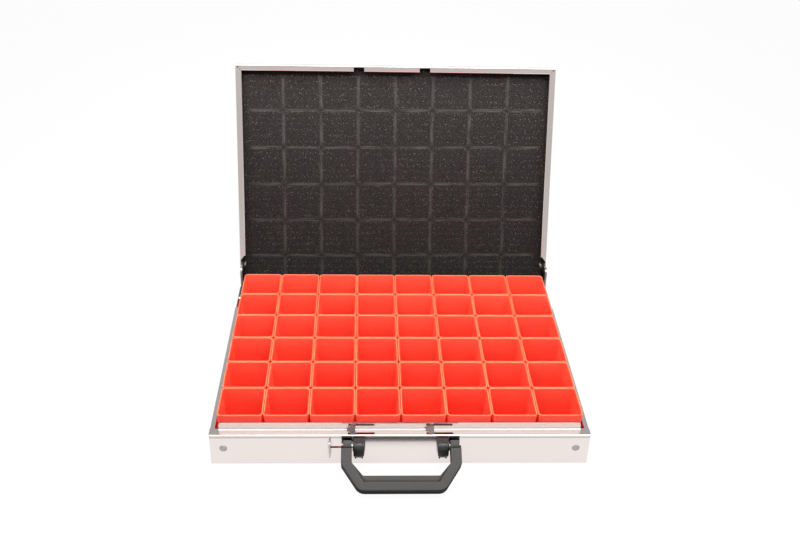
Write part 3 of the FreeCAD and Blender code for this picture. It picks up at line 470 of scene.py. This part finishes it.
def bins():
    """Six rows of eight bins. Each bin sits a little off its place, within the gap between rims."""
    chance = random.Random(BIN_SEED)
    for row in range(1, BIN_ROWS + 1):
        node = f"bins_row_{row}"
        low, high = (Vector(corner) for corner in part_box(node))
        side = high.y - low.y
        pitch = (high.x - low.x - side) / (BIN_COLUMNS - 1)
        rings = bin_rings(side / 2, high.z - low.z)
        work = bmesh.new()
        layer = work.faces.layers.float.new("tone")
        for column in range(BIN_COLUMNS):
            centre = Vector((low.x + side / 2 + column * pitch, (low.y + high.y) / 2, low.z))
            centre += Vector((chance.uniform(-BIN_SHIFT, BIN_SHIFT), chance.uniform(-BIN_SHIFT, BIN_SHIFT), 0))
            place = Matrix.Translation(centre) @ Matrix.Rotation(chance.uniform(-BIN_TURN, BIN_TURN), 4, "Z")
            tone = chance.random()
            for face in skin(work, rings, place):
                face[layer] = tone
        mesh = bpy.data.meshes.new(f"bins_{row}_mesh")
        work.to_mesh(mesh)
        work.free()
        finish_piece(f"bins_{row}_moulded", mesh, f"bins_{row}", "bin_plastic", node)


def lid_place():
    """Turns a point drawn on the shut lid, measured from the hinge, to where the open lid has it."""
    hinge = joints["lid_hinge"]
    turn = Matrix.Rotation(math.radians(hinge["range_deg"][0]), 4, "X")
    return Matrix.Translation(hinge["pos_m"]) @ turn, Vector(hinge["pos_m"])


def rim_distance(x, y, half, corner):
    """Distance from a point to the outline of a square rim with rounded corners about the origin."""
    across = abs(x) - (half - corner)
    along = abs(y) - (half - corner)
    outside = math.hypot(max(across, 0.0), max(along, 0.0))
    return abs(outside + min(max(across, along), 0.0) - corner)


def foam_pad():
    """The pad under the lid, crowned at its edges and dented by the rims of the bins."""
    place, pivot = lid_place()
    back = place.inverted()
    points = [back @ vertex.co for vertex in nodes["foam_pad"].data.vertices]
    low = Vector([min(point[axis] for point in points) for axis in range(3)])
    high = Vector([max(point[axis] for point in points) for axis in range(3)])
    bin_low, bin_high = (Vector(corner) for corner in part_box("bins_row_1"))
    side = (bin_high.y - bin_low.y) * IMPRINT_SCALE
    pitch = (bin_high.x - bin_low.x - (bin_high.y - bin_low.y)) / (BIN_COLUMNS - 1)
    across = pitch * IMPRINT_SCALE
    row_pitch = (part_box("bins_row_6")[0][1] - bin_low.y) / (BIN_ROWS - 1)
    along = row_pitch * IMPRINT_SCALE
    first_x = (bin_low.x + bin_high.x) / 2 - across * (BIN_COLUMNS - 1) / 2 + IMPRINT_SIDE
    first_y = (bin_low.y + bin_high.y) / 2 - pivot.y - IMPRINT_SHIFT + (row_pitch - along) / 2
    columns = round((high.x - low.x) / FOAM_STEP)
    rows = round((high.y - low.y) / FOAM_STEP)
    work = bmesh.new()
    layer = work.verts.layers.float.new("pressed")
    grid = []
    for row in range(rows + 1):
        line = []
        for column in range(columns + 1):
            x = low.x + (high.x - low.x) * column / columns
            y = low.y + (high.y - low.y) * row / rows
            wave = IMPRINT_WAVE * noise.noise(Vector((x * IMPRINT_WAVE_SCALE, y * IMPRINT_WAVE_SCALE, 0.5)))
            skewed = y + IMPRINT_SKEW * x
            bin_x = min(max(round((x - first_x) / across), 0), BIN_COLUMNS - 1)
            bin_y = min(max(round((skewed - first_y) / along), 0), BIN_ROWS - 1)
            off = Vector((x + wave - first_x - bin_x * across, skewed + wave - first_y - bin_y * along))
            away = rim_distance(off.x, off.y, side / 2 - BIN_WALL / 2, IMPRINT_CORNER)
            mark, strength = COLUMN_MARK if abs(off.x) > abs(off.y) else ROW_MARK
            corner = math.hypot(side / 2 - abs(off.x), side / 2 - abs(off.y))
            strength *= min(corner / IMPRINT_FADE, 1.0)
            if abs(off.x) > abs(off.y):
                outside = bin_x + math.copysign(1, off.x) not in range(BIN_COLUMNS)
            else:
                outside = bin_y + math.copysign(1, off.y) not in range(BIN_ROWS)
            if outside:
                strength = 0.0
            spot = Vector((x * IMPRINT_PATCH_SCALE, y * IMPRINT_PATCH_SCALE, 3.0 + bin_x + 7.0 * bin_y))
            patch = IMPRINT_PATCH_MEAN + IMPRINT_PATCH_SWING * noise.noise(spot)
            strength *= max(patch, IMPRINT_PATCH_LEAST)
            dent = strength * math.exp(-((away / mark) ** 2))
            slack = math.exp(-((away / PILLOW_WIDTH) ** 2))
            edge = min(x - low.x, high.x - x, y - low.y, high.y - y, FOAM_EDGE_ROUND)
            fall = FOAM_EDGE_ROUND - math.sqrt(FOAM_EDGE_ROUND ** 2 - (FOAM_EDGE_ROUND - edge) ** 2)
            z = low.z + IMPRINT_DEPTH * dent + PILLOW_DEPTH * slack + fall
            vertex = work.verts.new(place @ Vector((x, y, z)))
            vertex[layer] = min(dent, 1.0)
            line.append(vertex)
        grid.append(line)
    for row in range(rows):
        for column in range(columns):
            work.faces.new((
                grid[row][column], grid[row + 1][column], grid[row + 1][column + 1], grid[row][column + 1],
            ))
    border = [edge for edge in work.edges if edge.is_boundary]
    rim = bmesh.ops.extrude_edge_only(work, edges=border)["geom"]
    for vertex in (item for item in rim if isinstance(item, bmesh.types.BMVert)):
        flat = back @ vertex.co
        vertex.co = place @ Vector((flat.x, flat.y, high.z))
    bmesh.ops.holes_fill(work, edges=[edge for edge in work.edges if edge.is_boundary])
    bmesh.ops.recalc_face_normals(work, faces=work.faces)
    mesh = bpy.data.meshes.new("foam_mesh")
    work.to_mesh(mesh)
    work.free()
    piece = finish_piece("foam_pad_open_cell", mesh, "lid", "foam", "foam_pad")


def rounded(corners):
    """Points round a closed outline whose corners, given as (x, y, radius), are rounded."""
    points = []
    count = len(corners)
    for index, (x, y, radius) in enumerate(corners):
        corner = Vector((x, y))
        before = (Vector(corners[index - 1][:2]) - corner).normalized()
        after = (Vector(corners[(index + 1) % count][:2]) - corner).normalized()
        if radius == 0:
            points.append(corner)
            continue
        half = before.angle(after) / 2
        middle = corner + (before + after).normalized() * (radius / math.sin(half))
        start = corner + before * (radius / math.tan(half)) - middle
        end = corner + after * (radius / math.tan(half)) - middle
        sweep = start.angle_signed(end)
        for step in range(ARC_STEPS + 1):
            points.append(middle + Matrix.Rotation(-sweep * step / ARC_STEPS, 2) @ start)
    return points


def inset(points, distance):
    """Moves a counter-clockwise outline inwards. The distance may differ from point to point."""
    moved = []
    count = len(points)
    for index, point in enumerate(points):
        before = (point - points[index - 1]).normalized()
        after = (points[(index + 1) % count] - point).normalized()
        across = Vector((-before.y - after.y, before.x + after.x)).normalized()
        stretch = across.dot(Vector((-before.y, before.x)))
        moved.append(point + across * (distance[index] / stretch))
    return moved


def solid(name, work):
    """A hidden helper object for a boolean cut or union."""
    bmesh.ops.recalc_face_normals(work, faces=work.faces)
    mesh = bpy.data.meshes.new(name)
    work.to_mesh(mesh)
    work.free()
    shown = bpy.data.objects.new(name, mesh)
    bpy.context.scene.collection.objects.link(shown)
    return shown


def drum(name, start, end, radius, edge, centre):
    """A short round bar along X with rounded ends; centre is its (y, z)."""
    way = math.copysign(1.0, end - start)
    rings = []
    for along, smaller in ((start, edge), (start + 0.3 * edge * way, 0.3 * edge), (start + edge * way, 0.0),
                           (end - edge * way, 0.0), (end - 0.3 * edge * way, 0.3 * edge), (end, edge)):
        turns = [2 * math.pi * step / ROUND_STEPS for step in range(ROUND_STEPS)]
        reach = radius - smaller
        rings.append([
            Vector((along, centre[0] + reach * math.cos(turn), centre[1] + reach * math.sin(turn))) for turn in turns
        ])
    work = bmesh.new()
    skin(work, rings, Matrix.Identity(4))
    return solid(name, work)


def combine(base, others):
    """Applies unions and cuts to base and returns the finished mesh; the helpers are removed."""
    for kind, other in others:
        step = base.modifiers.new(kind, "BOOLEAN")
        step.operation = kind
        step.solver = "EXACT"
        step.object = other
    graph = bpy.context.evaluated_depsgraph_get()
    mesh = bpy.data.meshes.new_from_object(base.evaluated_get(graph))
    for helper in [base] + [other for kind, other in others]:
        bpy.data.objects.remove(helper)
    return mesh


def handle():
    """The bail with rounded edges, a groove round its outside, knuckles and a lowered grip band."""
    inner_arm = BAIL_HALF - BAIL_ARM_WIDTH
    outline = rounded([
        (-BAIL_HALF, 0.0, 0),
        (-BAIL_HALF, -BAIL_ARM, BAIL_ELBOW_ROUND),
        (-BAIL_GRIP_HALF, -BAIL_REACH, BAIL_OUTER_ROUND),
        (BAIL_GRIP_HALF, -BAIL_REACH, BAIL_OUTER_ROUND),
        (BAIL_HALF, -BAIL_ARM, BAIL_ELBOW_ROUND),
        (BAIL_HALF, 0.0, 0),
        (inner_arm, 0.0, 0),
        (inner_arm, -BAIL_INNER_ARM, BAIL_INNER_ROUND),
        (BAIL_INNER_HALF, -BAIL_INNER_REACH, BAIL_INNER_ROUND),
        (-BAIL_INNER_HALF, -BAIL_INNER_REACH, BAIL_INNER_ROUND),
        (-inner_arm, -BAIL_INNER_ARM, BAIL_INNER_ROUND),
        (-inner_arm, 0.0, 0),
    ])
    ends = [0.0 if point.y > -MM else 1.0 for point in outline]
    outside = 4 * (ARC_STEPS + 1) + 1
    groove = [share if 0 < index < outside else 0.0 for index, share in enumerate(ends)]
    levels = [(-BAIL_BELOW + BAIL_EDGE * (1 - math.cos(turn)), BAIL_EDGE * (1 - math.sin(turn)), ends)
              for turn in EDGE_TURNS]
    for shift, depth in ((-1.0, 0.0), (-0.7, 1.0), (0.7, 1.0), (1.0, 0.0)):
        levels.append((BAIL_GROOVE_LEVEL + shift * BAIL_GROOVE_HALF, depth * BAIL_GROOVE_DEPTH, groove))
    levels += [(BAIL_ABOVE - BAIL_EDGE * (1 - math.cos(turn)), BAIL_EDGE * (1 - math.sin(turn)), ends)
               for turn in reversed(EDGE_TURNS)]
    rings = []
    for level, distance, shares in levels:
        moved = inset(outline, [distance * share for share in shares])
        rings.append([Vector((point.x, point.y, level)) for point in moved])
    work = bmesh.new()
    skin(work, rings, Matrix.Identity(4))
    body = solid("bail_body", work)
    across = BAIL_HALF + CUT_PAST
    corners = ((-across, CUT_PAST), (-across, -BAIL_KNUCKLE_CUT), (across, -BAIL_KNUCKLE_CUT), (across, CUT_PAST))
    rings = [[Vector((x, y, level)) for x, y in corners] for level in (BAIL_KNUCKLE_SHELF, BAIL_ABOVE + CUT_PAST)]
    work = bmesh.new()
    skin(work, rings, Matrix.Identity(4))
    others = [("DIFFERENCE", solid("knuckle_cut", work))]
    for side in (-1, 1):
        inner = side * inner_arm
        outer = side * (BAIL_HALF - BAIL_KNUCKLE_END)
        others.append(("UNION", drum("knuckle", inner, outer, BAIL_KNUCKLE, BAIL_KNUCKLE_EDGE, (0.0, 0.0))))
    for surface, drop in ((BAIL_ABOVE, BAIL_BAND_DROP), (-BAIL_BELOW, -BAIL_BAND_DROP)):
        rings = []
        for spread, level in ((0.0, surface - drop), (BAIL_BAND_SLOPE, surface),
                              (BAIL_BAND_SLOPE, surface + math.copysign(CUT_PAST, drop))):
            corners = ((inner_arm + spread / 3, -BAIL_INNER_ARM + spread / 3),
                       (BAIL_BAND_HALF + spread / 2, -BAIL_BAND_END - spread))
            rings.append([
                Vector((-corners[0][0], corners[0][1], level)),
                Vector((-corners[1][0], corners[1][1], level)),
                Vector((corners[1][0], corners[1][1], level)),
                Vector((corners[0][0], corners[0][1], level)),
            ])
        work = bmesh.new()
        skin(work, rings, Matrix.Identity(4))
        others.append(("DIFFERENCE", solid("band", work)))
    mesh = combine(body, others)
    axis = Vector(joints["handle_hinge"]["pos_m"])
    run = BAIL_REACH - BAIL_BEVEL
    drop = axis.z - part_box("handle_bail")[0][2]
    droop = math.asin(drop / math.hypot(run, BAIL_BELOW)) - math.atan(BAIL_BELOW / run)
    mesh.transform(Matrix.Translation(axis) @ Matrix.Rotation(droop, 4, "X"))
    piece = finish_piece("handle_moulded", mesh, "handle", "black_plastic", "handle_bail")
    soften(piece, BAIL_SOFT)


def block(name, side):
    """A handle block: rounded sides, the inner one drawn in, a raised panel, a collar and two feet."""
    profile = rounded([
        (0.0, BLOCK_LOW, 0),
        (BLOCK_CHIN, BLOCK_LOW + BLOCK_CHIN_RISE, BLOCK_CHIN_ROUND),
        (BLOCK_DEPTH, BLOCK_LOW + BLOCK_FRONT_RISE, BLOCK_FRONT_ROUND),
        (BLOCK_DEPTH, BLOCK_HIGH, BLOCK_TOP_ROUND),
        (0.0, BLOCK_HIGH, 0),
    ])
    free = [0.0 if point.x < 0.1 * MM else 1.0 for point in profile]
    width = BLOCK_OUTER - BLOCK_INNER
    levels = [(BLOCK_EDGE * (1 - math.cos(turn)), BLOCK_EDGE * (1 - math.sin(turn)) + BLOCK_PANEL_RISE)
              for turn in EDGE_TURNS]
    levels += [(BLOCK_PANEL_MARGIN, BLOCK_PANEL_RISE), (BLOCK_PANEL_MARGIN + BLOCK_PANEL_SLOPE, 0.0)]
    levels += [(width - along, distance) for along, distance in reversed(levels)]
    rings = []
    for along, distance in levels:
        moved = inset(profile, [distance * share for share in free])
        drawn = max(1.0 - along / (BLOCK_TAPER_SHARE * width), 0.0) * BLOCK_TAPER
        points = []
        for point in moved:
            lower = (BLOCK_HIGH - point.y) / (BLOCK_HIGH - BLOCK_LOW)
            x = side * (BLOCK_INNER + along + drawn * lower)
            points.append(Vector((x, WALL_Y - point.x, point.y)))
        rings.append(points)
    work = bmesh.new()
    skin(work, rings, Matrix.Identity(4))
    body = solid("block_body", work)
    axis = joints["handle_hinge"]["pos_m"]
    others = [("UNION", drum("collar", side * (BLOCK_OUTER - MM), side * (BLOCK_OUTER + COLLAR_LENGTH),
                             COLLAR_RADIUS, COLLAR_EDGE, (axis[1], axis[2])))]
    centre = (WALL_Y - BLOCK_CHIN + FOOT_BACK, BLOCK_LOW + FOOT_RISE)
    for along in (BLOCK_INNER + FOOT_FROM_INNER, BLOCK_OUTER - FOOT_FROM_OUTER):
        start = side * (along - FOOT_HALF)
        end = side * (along + FOOT_HALF)
        others.append(("UNION", drum("foot", start, end, FOOT_RADIUS, FOOT_EDGE, centre)))
    mesh = combine(body, others)
    piece = finish_piece(name + "_moulded", mesh, "base", "black_plastic", name, look="block_plastic_and_painted_shade")
    soften(piece, BLOCK_SOFT)


def soften(piece, width):
    """Breaks a piece's sharp edges so that they catch the light."""
    weld = piece.modifiers.new("weld", "WELD")
    weld.merge_threshold = WELD_REACH
    bevel = piece.modifiers.new("edges", "BEVEL")
    bevel.width = width
    bevel.segments = 2
    bevel.limit_method = "ANGLE"
    bevel.angle_limit = SHARP_ANGLE
    bevel.use_clamp_overlap = True
    bevel.harden_normals = True


def dress_nodes():
    """Gives each carried-over CAD node its material."""
    for part in frame["record"]["subparts"]:
        shown = nodes[part["node"]]
        look = "lid_aluminium" if part["node"] == "lid_shell" else part["material_slot"]
        shown.data.materials.clear()
        shown.data.materials.append(LOOKS[look])


def camera():
    """The photograph's camera."""
    data = bpy.data.cameras.new("camera")
    data.sensor_width = SENSOR_WIDTH
    data.sensor_fit = "HORIZONTAL"
    data.lens = FOCAL_SHARE * SENSOR_WIDTH
    shown = bpy.data.objects.new("camera", data)
    axes = Matrix((CAMERA_RIGHT, CAMERA_UP, [-part for part in CAMERA_AHEAD])).transposed()
    shown.matrix_world = Matrix.Translation(CAMERA_PLACE) @ axes.to_4x4()
    bpy.context.scene.collection.objects.link(shown)
    bpy.context.scene.camera = shown


def seen_rays(tree):
    """One for rays that come from the camera, off a mirror or through glass, else zero."""
    path = tree.nodes.new("ShaderNodeLightPath")
    total = path.outputs["Is Camera Ray"]
    for name in ("Is Glossy Ray", "Is Transmission Ray"):
        add = tree.nodes.new("ShaderNodeMath")
        add.operation = "MAXIMUM"
        tree.links.new(total, add.inputs[0])
        tree.links.new(path.outputs[name], add.inputs[1])
        total = add.outputs[0]
    return total


def sky():
    """A grey room: pale at the horizon, darker above it and pale again overhead."""
    world = bpy.data.worlds.new("sky")
    bpy.context.scene.world = world
    world.use_nodes = True
    tree = world.node_tree
    space = tree.nodes.new("ShaderNodeTexCoord")
    split = tree.nodes.new("ShaderNodeSeparateXYZ")
    ramp = tree.nodes.new("ShaderNodeValToRGB")
    elements = ramp.color_ramp.elements
    while len(elements) < len(SKY):
        elements.new(1.0)
    for element, (height, level) in zip(elements, SKY):
        element.position = height
        element.color = (level, level, level, 1.0)
    tree.links.new(space.outputs["Generated"], split.inputs["Vector"])
    tree.links.new(split.outputs["Z"], ramp.inputs["Fac"])
    tree.links.new(ramp.outputs["Color"], tree.nodes["Background"].inputs["Color"])
    strength = tree.nodes.new("ShaderNodeMapRange")
    strength.inputs["From Min"].default_value = -1.0
    strength.inputs["To Min"].default_value = SKY_FRONT
    strength.inputs["To Max"].default_value = SKY_BACK
    tree.links.new(split.outputs["Y"], strength.inputs["Value"])
    tree.links.new(strength.outputs["Result"], tree.nodes["Background"].inputs["Strength"])


def floor():
    """A floor that shows as white to the eye and in metal, keeps the shadow and lights the case only faintly."""
    mesh = bpy.data.meshes.new("floor")
    work = bmesh.new()
    bmesh.ops.create_grid(work, x_segments=1, y_segments=1, size=FLOOR_HALF)
    work.to_mesh(mesh)
    work.free()
    shown = bpy.data.objects.new("floor", mesh)
    bpy.context.scene.collection.objects.link(shown)
    material = bpy.data.materials.new("floor")
    material.use_nodes = True
    tree = material.node_tree
    matt = tree.nodes["Principled BSDF"]
    pale = tree.nodes.new("ShaderNodeMapRange")
    pale.inputs["To Min"].default_value = FLOOR_BOUNCE
    pale.inputs["To Max"].default_value = FLOOR_PALE
    tree.links.new(pale.outputs["Result"], matt.inputs["Base Color"])
    matt.inputs["Roughness"].default_value = FLOOR_ROUGHNESS
    glow = tree.nodes.new("ShaderNodeEmission")
    share = tree.nodes.new("ShaderNodeMapRange")
    share.inputs["To Max"].default_value = FLOOR_GLOW_SHARE
    seen = seen_rays(tree)
    tree.links.new(seen, share.inputs["Value"])
    tree.links.new(seen, pale.inputs["Value"])
    blend = tree.nodes.new("ShaderNodeMixShader")
    tree.links.new(share.outputs["Result"], blend.inputs[0])
    tree.links.new(matt.outputs[0], blend.inputs[1])
    tree.links.new(glow.outputs[0], blend.inputs[2])
    tree.links.new(blend.outputs[0], tree.nodes["Material Output"].inputs["Surface"])
    mesh.materials.append(material)


def lamp(name, place, aim, width, depth, power, spread, glossy):
    """A rectangular lamp that the camera doesn't see."""
    data = bpy.data.lights.new(name, "AREA")
    data.spread = math.radians(spread)
    data.shape = "RECTANGLE"
    data.size = width
    data.size_y = depth
    data.energy = power
    shown = bpy.data.objects.new(name, data)
    shown.visible_camera = False
    shown.visible_glossy = glossy
    shown.location = place
    shown.rotation_euler = (Vector(aim) - Vector(place)).to_track_quat("-Z", "Y").to_euler()
    bpy.context.scene.collection.objects.link(shown)


dress_nodes()
bins()
foam_pad()
handle()
for side_name, side in (("left", -1), ("right", 1)):
    block(f"handle_block_{side_name}", side)
camera()
sky()
floor()
for values in LAMPS:
    lamp(*values)

bpy.context.scene.view_settings.view_transform = "Standard"
